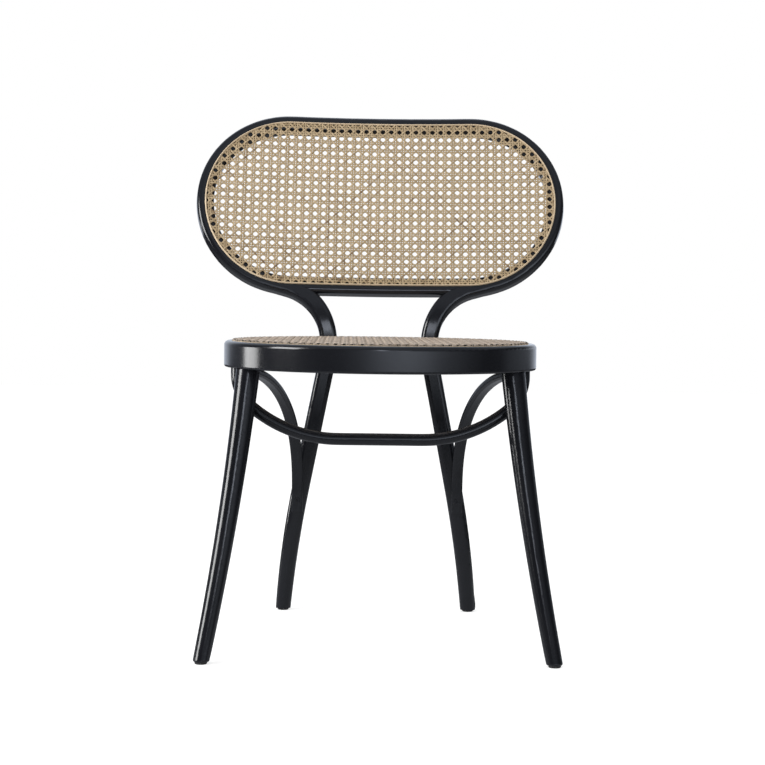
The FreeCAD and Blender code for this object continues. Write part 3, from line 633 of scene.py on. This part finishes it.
class StrandTree:
    """Geometry Nodes that turn flat lines into waving strands on a bent panel."""

    FLOATS = ("Step", "Pitch Across", "Pitch Up", "Origin Across", "Origin Up", "Tilt", "Lift",
              "Wave Across", "Wave Up", "Phase", "Wide", "Thick", "Lean", "Curvature",
              "Standoff", "Rise", "Rise Radius", "Rise Width")

    def __init__(self) -> None:
        """Build the tree."""
        self.tree = bpy.data.node_groups.new("waving_strands", "GeometryNodeTree")
        face = self.tree.interface
        face.new_socket("Geometry", in_out="INPUT", socket_type="NodeSocketGeometry")
        for name in self.FLOATS:
            face.new_socket(name, in_out="INPUT", socket_type="NodeSocketFloat")
        face.new_socket("Sides", in_out="INPUT", socket_type="NodeSocketInt")
        face.new_socket("Centre", in_out="INPUT", socket_type="NodeSocketVector")
        face.new_socket("Material", in_out="INPUT", socket_type="NodeSocketMaterial")
        face.new_socket("Geometry", in_out="OUTPUT", socket_type="NodeSocketGeometry")
        self.board = Board(self.tree)
        self.inputs = self.board.add("NodeGroupInput")
        self._build()

    def given(self, name: str) -> Wire:
        """One of the tree's inputs."""
        return self.board.wire(self.inputs, name)

    def _build(self) -> None:
        """Lines to curves, waves, strands, bend and material."""
        board = self.board
        curves = board.add("GeometryNodeMeshToCurve", None, {"Mesh": self.given("Geometry")})
        fine = board.add("GeometryNodeResampleCurve", {"mode": "LENGTH"},
                         {"Curve": curves.outputs[0], "Length": self.given("Step")})
        length = board.add("GeometryNodeSplineParameter")
        named = board.add("GeometryNodeStoreNamedAttribute",
                          {"data_type": "FLOAT", "domain": "POINT"},
                          {"Geometry": fine.outputs[0], "Name": "along",
                           "Value": length.outputs["Length"]})
        lifted = board.add("GeometryNodeSetPosition", None,
                           {"Geometry": named.outputs[0], "Offset": self._wave()})
        upright = board.add("GeometryNodeSetCurveNormal", {"mode": "Z_UP"},
                            {"Curve": lifted.outputs[0]})
        circle = board.add("GeometryNodeCurvePrimitiveCircle", {"mode": "RADIUS"},
                           {"Resolution": self.given("Sides"), "Radius": 0.5})
        flat = board.value("ShaderNodeCombineXYZ", None,
                           {0: self.given("Wide"), 1: self.given("Thick"), 2: 1.0})
        section = board.add("GeometryNodeTransform", None,
                            {"Geometry": circle.outputs[0], "Scale": flat})
        tube = board.add("GeometryNodeCurveToMesh", None,
                         {"Curve": upright.outputs[0], "Profile Curve": section.outputs[0],
                          "Fill Caps": True})
        bent = board.add("GeometryNodeSetPosition", None,
                         {"Geometry": tube.outputs[0], "Position": self._bend()})
        smooth = board.add("GeometryNodeSetShadeSmooth", None, {"Geometry": bent.outputs[0]})
        real = board.add("GeometryNodeRealizeInstances", None, {"Geometry": smooth.outputs[0]})
        dressed = board.add("GeometryNodeSetMaterial", None,
                            {"Geometry": real.outputs[0], "Material": self.given("Material")})
        board.add("NodeGroupOutput", None, {0: dressed.outputs[0]})

    def _coordinates(self) -> tuple[Wire, Wire, Wire]:
        """The flat position as across, up and out of the sheet."""
        place = self.board.value("GeometryNodeInputPosition")
        node = self.board.add("ShaderNodeSeparateXYZ", None, {0: place})
        return self.board.wire(node, 0), self.board.wire(node, 1), self.board.wire(node, 2)

    def _wave(self) -> Wire:
        """Offset that lifts a strand over and under the ones that it crosses.

        Returns:
            The offset, straight out of the sheet.
        """
        across, up, _ = self._coordinates()
        tilt = self.given("Tilt")
        cosine, sine = tilt.maths("COSINE"), tilt.maths("SINE")
        column = across * cosine + up * sine - self.given("Origin Across")
        row = up * cosine - across * sine - self.given("Origin Up")
        turn = (column / self.given("Pitch Across") * self.given("Wave Across")
                + row / self.given("Pitch Up") * self.given("Wave Up")) * math.tau
        side = self.board.value("GeometryNodeInputNamedAttribute", {"data_type": "FLOAT"},
                                {"Name": "side"})
        height = (turn + self.given("Phase")).maths("SINE") * self.given("Lift") * side
        return self.board.value("ShaderNodeCombineXYZ", None, {2: height})

    def _bend(self) -> Wire:
        """Position on the panel for a flat position.

        Returns:
            The place on the bent and leaning panel, with the sheet's rise off its rim.
        """
        across, up, out = self._coordinates()
        inward = self.given("Rise Radius") - (across * across + up * up).maths("SQRT")
        share = self.board.value("ShaderNodeMapRange", {"interpolation_type": "SMOOTHSTEP"},
                                 {"Value": inward, "From Min": 0.0,
                                  "From Max": self.given("Rise Width")})
        out = out + share * self.given("Rise")
        curvature = self.given("Curvature")
        sine = across * curvature
        square = sine * sine
        cosine = (1.0 - square).maths("SQRT")
        # Sag of a circle by the first two terms of its series, which also holds when flat.
        sag = across * sine * 0.5 * (1.0 + square * 0.25)
        level = sag + (out + self.given("Standoff")) * cosine
        x = across - (out + self.given("Standoff")) * sine
        lean = self.given("Lean")
        y = up * lean.maths("SINE") - level * lean.maths("COSINE")
        z = up * lean.maths("COSINE") + level * lean.maths("SINE")
        bent = self.board.value("ShaderNodeCombineXYZ", None, {0: x, 1: y, 2: z})
        return self.board.value("ShaderNodeVectorMath", {"operation": "ADD"},
                                {0: bent, 1: self.given("Centre")})

    def make(self, name: str, lines: bpy.types.Mesh,
             values: Mapping[str, Any]) -> bpy.types.Object:
        """Run the tree on a mesh of lines.

        Args:
            name: name of the finished piece.
            lines: mesh whose edges are the strands' middles.
            values: the tree's inputs by name.

        Returns:
            An object with a plain mesh.
        """
        maker = bpy.data.objects.new(name + "_lines", lines)
        bpy.context.scene.collection.objects.link(maker)
        modifier = maker.modifiers.new("strands", "NODES")
        modifier.node_group = self.tree
        for item in self.tree.interface.items_tree:
            if item.in_out == "INPUT" and item.name in values:
                modifier[item.identifier] = values[item.name]
        graph = bpy.context.evaluated_depsgraph_get()
        mesh = bpy.data.meshes.new_from_object(maker.evaluated_get(graph))
        maker.modifiers.clear()
        bpy.data.objects.remove(maker)
        mesh.name = name
        piece = bpy.data.objects.new(name, mesh)
        bpy.context.scene.collection.objects.link(piece)
        return piece


def line_mesh(name: str, lines: Sequence[Strand], seed: int) -> bpy.types.Mesh:
    """Mesh of loose edges with the side and the tone of each strand on its points.

    Args:
        name: name of the mesh.
        lines: two ends and the side of each strand.
        seed: start of the random tones.

    Returns:
        The mesh, flat at height 0.
    """
    chance = random.Random(seed)
    mesh = bpy.data.meshes.new(name)
    points = [(*end, 0.0) for first, last, _ in lines for end in (first, last)]
    mesh.from_pydata(points, [(2 * i, 2 * i + 1) for i in range(len(lines))], [])
    sides = mesh.attributes.new("side", "FLOAT", "POINT")
    tones = mesh.attributes.new("tone", "FLOAT", "POINT")
    for i, (_, _, side) in enumerate(lines):
        tone = min(1.0, max(0.0, chance.gauss(TONE_MEAN, TONE_SPREAD)))
        for end in (2 * i, 2 * i + 1):
            sides.data[end].value = side
            tones.data[end].value = tone
    return mesh


def loop_mesh(name: str, points: Sequence[Point]) -> bpy.types.Mesh:
    """Mesh of one closed ring of edges.

    Args:
        name: name of the mesh.
        points: the ring's points in order.

    Returns:
        The mesh, flat at height 0, with an even tone.
    """
    mesh = bpy.data.meshes.new(name)
    count = len(points)
    mesh.from_pydata([(*point, 0.0) for point in points],
                     [(i, (i + 1) % count) for i in range(count)], [])
    for attribute, value in (("side", 1.0), ("tone", LOOP_TONE)):
        data = mesh.attributes.new(attribute, "FLOAT", "POINT").data
        for item in data:
            item.value = value
    return mesh


@dataclass
class CanedPanel:
    """A sheet of woven cane and the reed that holds it in its groove."""

    name: str
    node: str
    reed_node: str
    panel: Panel
    weave: Weave
    tree: StrandTree
    reed_wide: float = 0.003
    reed_deep: float = 0.0072
    reed_top: float = 0.0
    reed_shift: float = 0.0
    gaps: GapRow | None = None
    cane: SplitCane = field(default_factory=SplitCane)

    STEPS_PER_MESH: ClassVar[float] = 6.0
    STRAND_SIDES: ClassVar[int] = 6
    REED_SIDES: ClassVar[int] = 16
    REED_STEP: ClassVar[float] = 0.003
    REED_POINT_STEP: ClassVar[float] = 0.004
    WAVES: ClassVar[dict[Lay, Place]] = {
        Lay.UPRIGHT: (0.0, 1.0, 0.0),
        Lay.LEVEL: (1.0, 0.0, 0.0),
        Lay.RISING: (1.0, 0.0, math.pi / 2.0),
        Lay.FALLING: (1.0, 0.0, math.pi / 2.0),
    }

    def values(self) -> dict[str, Any]:
        """Inputs that strands, reed and gaps share.

        Returns:
            The strand tree's inputs by name, for a straight strand on this panel.
        """
        panel, weave = self.panel, self.weave
        return {
            "Step": weave.pitch[0] / self.STEPS_PER_MESH,
            "Pitch Across": weave.pitch[0], "Pitch Up": weave.pitch[1],
            "Origin Across": weave.origin[0], "Origin Up": weave.origin[1], "Tilt": weave.tilt,
            "Lean": panel.lean, "Curvature": panel.curvature, "Standoff": panel.standoff,
            "Centre": panel.centre, "Sides": self.STRAND_SIDES, "Lift": 0.0, "Phase": 0.0,
            "Wave Across": 0.0, "Wave Up": 0.0, "Rise": 0.0,
            "Rise Radius": panel.outline.radius, "Rise Width": panel.rise_width,
        }

    def weave_cane(self) -> None:
        """Make one piece for each direction of the weave."""
        for order, lay in enumerate(Lay):
            straight = lay in (Lay.UPRIGHT, Lay.LEVEL)
            across, up, phase = self.WAVES[lay]
            values = self.values()
            values.update({
                "Wave Across": across, "Wave Up": up, "Phase": phase,
                "Lift": self.weave.lift if straight else self.weave.diagonal_lift,
                "Wide": self.weave.wide if straight else self.weave.diagonal_wide,
                "Thick": self.weave.thick, "Material": self.cane.material(),
                "Rise": self.panel.rise,
            })
            lines = self.weave.lines(lay, self.panel.outline)
            mesh = line_mesh("lines", lines, self.weave.seed + order)
            piece = self.tree.make("%s_%s" % (self.name, lay.value), mesh, values)
            self._keep(piece, self.node)

    def lay_reed(self) -> None:
        """Make the reed in the groove round the sheet."""
        values = self.values()
        values.update({
            "Step": self.REED_STEP, "Sides": self.REED_SIDES,
            "Wide": self.reed_wide, "Thick": self.reed_deep,
            "Standoff": self.reed_top - self.reed_deep / 2.0,
            "Material": PeeledReed().material(),
        })
        outline = self.panel.outline
        line = Outline(outline.radius + self.reed_shift, outline.half_straight)
        mesh = loop_mesh("reed_line", line.loop(self.REED_POINT_STEP))
        self._keep(self.tree.make(self.name + "_reed", mesh, values), self.reed_node)

    def open_gaps(self, gaps: GapRow) -> None:
        """Make the row of dark strips of painted shade between cane and reed.

        Args:
            gaps: their number and sizes.
        """
        values = self.values()
        values.update({
            "Step": gaps.long / 2.0, "Wide": gaps.wide, "Thick": gaps.deep,
            # The strips are painted shade: near-black pieces sunk between the strands' ends and
            # the reed.
            "Standoff": gaps.deep / 2.0 + gaps.floor, "Material": GapShade().material(),
        })
        mesh = line_mesh("gap_lines", gaps.lines(self.panel.outline.radius), self.weave.seed)
        self._keep(self.tree.make(self.name + "_gaps", mesh, values), self.node)

    def _keep(self, piece: bpy.types.Object, node: str) -> None:
        """Ride on the chair and stand for a node.

        Args:
            piece: the finished piece.
            node: name of the node that it stands for.
        """
        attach(piece, BODY)
        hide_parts(node)
        LOG.info("%s: %d faces", piece.name, len(piece.data.polygons))

    def build(self) -> None:
        """Weave, reed and the painted shade in the gaps between them."""
        self.weave_cane()
        self.lay_reed()
        if self.gaps is not None:
            self.open_gaps(self.gaps)


@dataclass
class Seat:
    """Round caned seat on its ring."""

    tree: StrandTree
    groove_inset: float = 0.013
    cane_lift: float = 0.001
    rise: float = 0.0008
    rise_width: float = 0.010
    reed_wide: float = 0.003
    reed_proud: float = 0.0004
    reed_shift: float = 0.0005
    weave: Weave = Weave(pitch=(0.01215, 0.0122), origin=(-0.0008, 0.0),
                         tilt=math.radians(0.4), seed=23)

    def build(self) -> None:
        """Lay the cane on top of the ring."""
        low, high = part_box("seat_ring")
        radius = (high[0] - low[0]) / 2.0
        centre = (0.0, (low[1] + high[1]) / 2.0, high[2])
        panel = Panel(centre, math.pi / 2.0, 0.0, Outline(radius - self.groove_inset),
                      self.cane_lift, self.rise, self.rise_width)
        # The seat's cane takes the darker copy of the cane finish, painted shade on its top.
        CanedPanel("seat_weave", "seat_cane", "seat_spline", panel, self.weave, self.tree,
                   reed_wide=self.reed_wide, reed_top=self.reed_proud,
                   reed_shift=self.reed_shift, gaps=GapRow(), cane=ShadedSeatCane()).build()


@dataclass
class Back:
    """Oval caned back on the curved and leaning bow."""

    tree: StrandTree
    lean: float = math.radians(18.5)
    curve_radius: float = 2.2
    end_radius: float = 0.1405
    groove_inset: float = 0.00225
    face: float = 0.014
    play: float = 0.00025
    cane_lift: float = 0.00095
    reed_wide: float = 0.0028
    reed_proud: float = 0.00325
    reed_shift: float = 0.0006

    def build(self) -> None:
        """Lay the cane on the front face of bow and rail."""
        low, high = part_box("back_cane")
        sheet_radius = self.end_radius - self.groove_inset
        near = self.face + self.play
        half_straight = high[0] - sheet_radius + near * high[0] / self.curve_radius
        z = low[2] + sheet_radius * math.cos(self.lean) - near * math.sin(self.lean)
        y = high[1] - sheet_radius * math.sin(self.lean) + near * math.cos(self.lean)
        panel = Panel((0.0, y, z), self.lean, 1.0 / self.curve_radius,
                      Outline(self.end_radius, half_straight), near + self.cane_lift)
        CanedPanel("back_weave", "back_cane", "back_spline", panel, Weave(), self.tree,
                   reed_wide=self.reed_wide, reed_top=self.face + self.reed_proud,
                   reed_shift=self.reed_shift).build()


@dataclass(frozen=True)
class Woodwork:
    """Bent and turned wood, and what fastens it: the frame's own pieces, finished."""

    lacquered: tuple[str, ...] = (
        "rear_bow", "back_rail", "seat_ring", "front_leg_left", "front_leg_right",
        "front_stretcher", "brace_left", "brace_right")
    blackened: tuple[str, ...] = (
        "brace_leg_screws", "brace_seat_screws", "stretcher_leg_screws", "seat_bolts")
    plated: tuple[str, ...] = ("seat_washers", "seat_nuts")
    raw: tuple[str, ...] = ("stretcher_dowels", "rail_dowels")
    glides: tuple[str, ...] = (
        "glide_front_left", "glide_front_right", "glide_rear_left", "glide_rear_right")

    def dress(self) -> None:
        """Give each node its finish."""
        plating = Metal("plated_steel", (0.42, 0.42, 0.43), 0.28)
        plastic = PlainSolid("glide_plastic", (0.03, 0.03, 0.031), (0.024, 0.024, 0.025), 0.5)
        finishes: dict[Finish, tuple[str, ...]] = {
            BlackLacquer(): self.lacquered,
            Metal(): self.blackened,
            plating: self.plated,
            PlainSolid(): self.raw,
            plastic: self.glides,
        }
        for finish, nodes in finishes.items():
            for node in nodes:
                self._assign(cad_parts[node], finish.material())
            LOG.info("%s on %s", finish.name, ", ".join(nodes))

    @staticmethod
    def _assign(thing: bpy.types.Object, material: bpy.types.Material) -> None:
        """Put a material in every slot of an object.

        Args:
            thing: the object.
            material: its finish.
        """
        if not thing.material_slots:
            thing.data.materials.append(material)
        for slot in thing.material_slots:
            slot.material = material


@dataclass(frozen=True)
class Photographer:
    """Camera where the photograph was taken, from the front and a little to the left."""

    place: Place = (-0.03080, -2.83657, 0.525335)
    yaw: float = math.radians(-0.716)
    pitch: float = math.radians(2.819)
    roll: float = math.radians(0.739)
    lens: float = 86.657
    sensor: float = 36.0
    sight: float = 60.0

    def set_up(self) -> None:
        """Create the camera and make it the scene's."""
        data = bpy.data.cameras.new("camera")
        data.lens = self.lens
        data.sensor_width = self.sensor
        data.clip_end = self.sight
        camera = bpy.data.objects.new("camera", data)
        bpy.context.scene.collection.objects.link(camera)
        turn = (Matrix.Rotation(self.yaw, 4, "Z")
                @ Matrix.Rotation(math.pi / 2.0 - self.pitch, 4, "X")
                @ Matrix.Rotation(self.roll, 4, "Z"))
        camera.matrix_world = Matrix.Translation(self.place) @ turn
        bpy.context.scene.camera = camera


@dataclass(frozen=True)
class Lamp:
    """Plain rectangular lamp that looks at the chair."""

    name: str
    azimuth: float
    elevation: float
    distance: float
    wide: float
    tall: float
    brightness: float
    colour: Colour = WHITE
    aim: Place = (0.0, 0.0, 0.42)

    def hang(self) -> None:
        """Create the lamp; its brightness is the radiance of its face."""
        data = bpy.data.lights.new(self.name, "AREA")
        data.shape = "RECTANGLE"
        data.size = self.wide
        data.size_y = self.tall
        data.energy = self.brightness * math.pi * self.wide * self.tall
        data.color = self.colour
        lamp = bpy.data.objects.new(self.name, data)
        lamp.visible_camera = False
        bpy.context.scene.collection.objects.link(lamp)
        around, above = math.radians(self.azimuth), math.radians(self.elevation)
        turn = (Matrix.Rotation(around, 4, "Z")
                @ Matrix.Rotation(math.pi / 2.0 - above, 4, "X"))
        back = turn @ Matrix.Translation((0.0, 0.0, self.distance))
        lamp.matrix_world = Matrix.Translation(self.aim) @ back


@dataclass(frozen=True)
class Floor:
    """Pale floor, white to the camera; gloss sees it dim, and dimmer far from the chair."""

    size: float = 14.0
    grey: float = 0.62
    near_glow: float = 0.40
    far_glow: float = 0.03
    near: float = 0.4
    far: float = 2.6
    tint: Colour = (0.88, 0.92, 1.0)

    def lay(self) -> None:
        """Create the floor as part of the stage."""
        half = self.size / 2.0
        corner_points = [(-half, -half, 0.0), (half, -half, 0.0),
                         (half, half, 0.0), (-half, half, 0.0)]
        mesh = bpy.data.meshes.new("floor")
        mesh.from_pydata(corner_points, [], [(0, 1, 2, 3)])
        mesh.materials.append(self._material())
        floor = bpy.data.objects.new("floor", mesh)
        bpy.context.scene.collection.objects.link(floor)

    def _material(self) -> bpy.types.Material:
        """Matt paint that takes the chair's shadow, lifted to white for the camera.

        Returns:
            The floor's material.
        """
        material = bpy.data.materials.new("floor_white")
        material.use_nodes = True
        material.node_tree.nodes.clear()
        board = Board(material.node_tree)
        rays = board.add("ShaderNodeLightPath")
        paint = board.add("ShaderNodeBsdfDiffuse", None, {"Color": (*(self.grey,) * 3, 1.0)})
        glow = board.add("ShaderNodeEmission", None,
                         {"Strength": board.wire(rays, "Is Camera Ray") * self.grey})
        both = board.add("ShaderNodeAddShader", None, {0: paint.outputs[0], 1: glow.outputs[0]})
        away = board.value("ShaderNodeVectorMath", {"operation": "LENGTH"},
                           {0: board.value("ShaderNodeTexCoord", output="Object")}, output=1)
        pool = board.value("ShaderNodeMapRange", {"interpolation_type": "SMOOTHSTEP"},
                           {"Value": away, "From Min": self.near, "From Max": self.far,
                            "To Min": self.near_glow, "To Max": self.far_glow})
        dim = board.add("ShaderNodeEmission", None,
                        {"Color": (*self.tint, 1.0), "Strength": pool})
        shown = board.add("ShaderNodeMixShader", None,
                          {0: board.wire(rays, "Is Glossy Ray"),
                           1: both.outputs[0], 2: dim.outputs[0]})
        board.add("ShaderNodeOutputMaterial", None, {"Surface": shown.outputs[0]})
        return material


@dataclass(frozen=True)
class Surroundings:
    """White room: even light on matt faces, and bright and dark parts that gloss mirrors.

    The stops give a brightness by azimuth, in degrees from the front, positive to the right.
    The bands give heights, as the upward part of a direction of length 1.
    """

    ambient: float = 0.84
    overhead: float = 0.34
    overhead_band: Point = (0.38, 0.62)
    front_band: Point = (0.10, 0.30)
    front_above: float = 0.08
    gloss_tint: Colour = (0.80, 0.87, 1.0)
    glow_scale: float = 3.0
    front_stops: tuple[Point, ...] = (
        (-95.0, 0.02), (-40.0, 0.02), (-26.0, 0.15), (-14.0, 0.55), (-2.0, 1.35), (10.0, 2.1),
        (20.0, 2.4), (30.0, 2.1), (40.0, 1.4), (53.0, 0.7), (67.0, 0.25), (81.0, 0.04),
        (98.0, 0.10), (107.0, 0.3), (135.0, 0.3), (180.0, 0.3))
    behind_stops: tuple[Point, ...] = (
        (-180.0, 1.0), (-152.0, 0.85), (-141.0, 0.35), (-128.0, 0.16), (-95.0, 0.0),
        (95.0, 0.0), (140.0, 0.05), (155.0, 0.5), (180.0, 1.0))

    def hang(self) -> None:
        """White to the camera and behind the chair; darker in front, as gloss shows it."""
        world = bpy.data.worlds.new("white_room")
        world.use_nodes = True
        world.node_tree.nodes.clear()
        board = Board(world.node_tree)
        rays = board.add("ShaderNodeLightPath")
        camera, glossy = board.wire(rays, "Is Camera Ray"), board.wire(rays, "Is Glossy Ray")
        way = board.add("ShaderNodeSeparateXYZ", None,
                        {0: board.value("ShaderNodeTexCoord", output="Generated")})
        mirrored = self._mirrored(board, way)
        strength = camera + (1.0 - camera) * (glossy * mirrored + (1.0 - glossy) * self.ambient)
        tint = board.value("ShaderNodeMix", {"data_type": "RGBA"},
                           {0: glossy, 6: (*WHITE, 1.0), 7: (*self.gloss_tint, 1.0)}, output=2)
        glow = board.add("ShaderNodeBackground", None, {"Color": tint, "Strength": strength})
        board.add("ShaderNodeOutputWorld", None, {"Surface": glow.outputs[0]})
        bpy.context.scene.world = world

    def _mirrored(self, board: Board, way: bpy.types.Node) -> Wire:
        """Brightness of the room where gloss mirrors it.

        Args:
            board: the world's node tree.
            way: node that gives a direction's three parts.

        Returns:
            The brightness in that direction.
        """
        azimuth = board.wire(way, 0).maths("ARCTAN2", -board.wire(way, 1)) / math.tau + 0.5
        height = board.value("ShaderNodeMapRange", None,
                             {"Value": board.wire(way, 2), "From Min": self.front_band[0],
                              "From Max": self.front_band[1], "To Min": 1.0,
                              "To Max": self.front_above})
        front = self._ramp(board, azimuth, self.front_stops) * height
        above = board.value("ShaderNodeMapRange", {"interpolation_type": "SMOOTHSTEP"},
                            {"Value": board.wire(way, 2), "From Min": self.overhead_band[0],
                             "From Max": self.overhead_band[1], "To Min": 0.0,
                             "To Max": self.overhead})
        return front + self._ramp(board, azimuth, self.behind_stops) + above

    def _ramp(self, board: Board, azimuth: Wire, stops: Sequence[Point]) -> Wire:
        """Brightness for an azimuth.

        Args:
            board: the world's node tree.
            azimuth: share of a full turn, 0.5 at the front.
            stops: azimuth in degrees and brightness, in order.

        Returns:
            The brightness between the stops.
        """
        places = [((degrees + 180.0) / 360.0, (value / self.glow_scale,) * 3)
                  for degrees, value in stops]
        ramp = board.value("ShaderNodeValToRGB", {"stops": places}, {"Fac": azimuth})
        return ramp * self.glow_scale


@dataclass(frozen=True)
class Studio:
    """White room with a pale floor and soft lamps."""

    floor: Floor = Floor()
    surroundings: Surroundings = Surroundings()
    lamps: tuple[Lamp, ...] = (
        Lamp("strip_left", -70.0, 16.5, 2.4, 1.0, 1.08, 11.5),
        Lamp("patch_low_left", -106.5, -1.6, 6.0, 1.7, 0.5, 8.0),
        Lamp("slit_front", 0.0, 11.0, 1.25, 0.09, 0.29, 6.2, (0.82, 0.88, 1.0)),
    )

    def light(self) -> None:
        """Set up floor, surroundings, lamps and view."""
        self.floor.lay()
        self.surroundings.hang()
        for lamp in self.lamps:
            lamp.hang()
        bpy.context.scene.view_settings.view_transform = "Standard"


def main() -> None:
    """Dress the frame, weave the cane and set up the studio."""
    logging.basicConfig(level=logging.INFO, format="%(name)s: %(message)s")
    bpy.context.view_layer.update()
    Woodwork().dress()
    tree = StrandTree()
    Seat(tree).build()
    Back(tree).build()
    Studio().light()
    Photographer().set_up()


if __name__ == "__main__":
    main()
